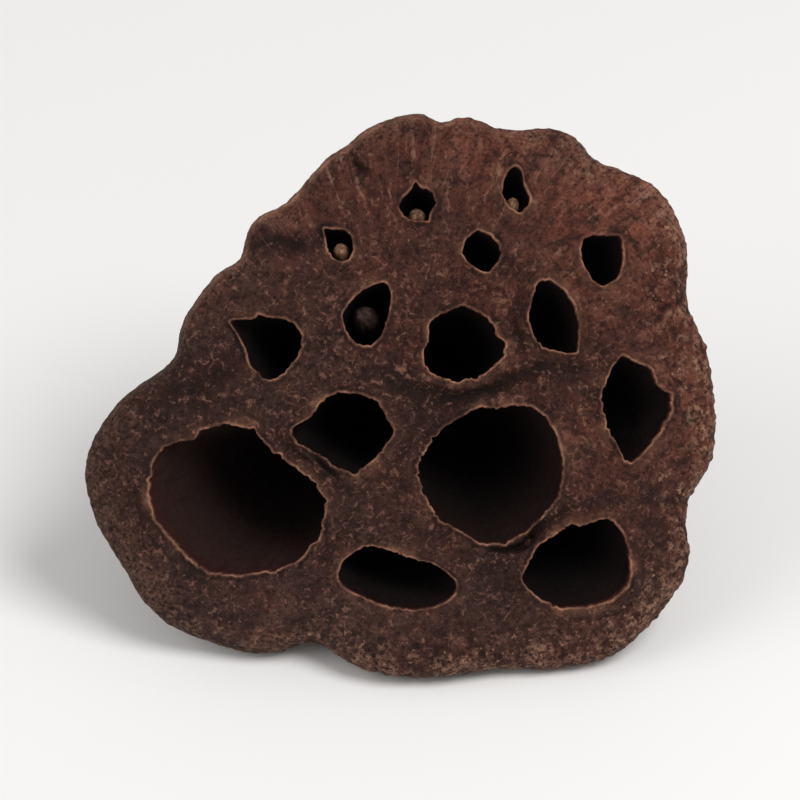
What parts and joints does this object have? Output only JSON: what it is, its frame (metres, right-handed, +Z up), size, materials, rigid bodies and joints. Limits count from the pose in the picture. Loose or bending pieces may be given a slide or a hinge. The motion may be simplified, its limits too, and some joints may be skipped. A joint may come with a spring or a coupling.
{
  "type": "dried lotus pod",
  "caption": "Dried lotus seed pod lying on its flank: a pleated woody funnel with a lobed rim, open seed cells in its flat face and a short stalk stub.",
  "frame": {"origin": "centre of the bounding box's base, on the surface that the pod rests on", "axes": "+X across the pod's face to the right, +Y away from the side that the face looks to, towards the stub, +Z up"},
  "size_m": [0.0802, 0.0571, 0.0581],
  "materials": {
    "pod_brown": "dry, fibrous and matt, reddish dark brown with paler lips round the seed cells",
    "seed_tan": "dry matt tan skin with a darker tip"
  },
  "bodies": {
    "root": {"pod": "pod_brown", "seed_top_middle": "seed_tan", "seed_top_right": "seed_tan", "seed_top_left": "seed_tan", "seed_upper_left": "seed_tan"}
  },
  "joints": []
}
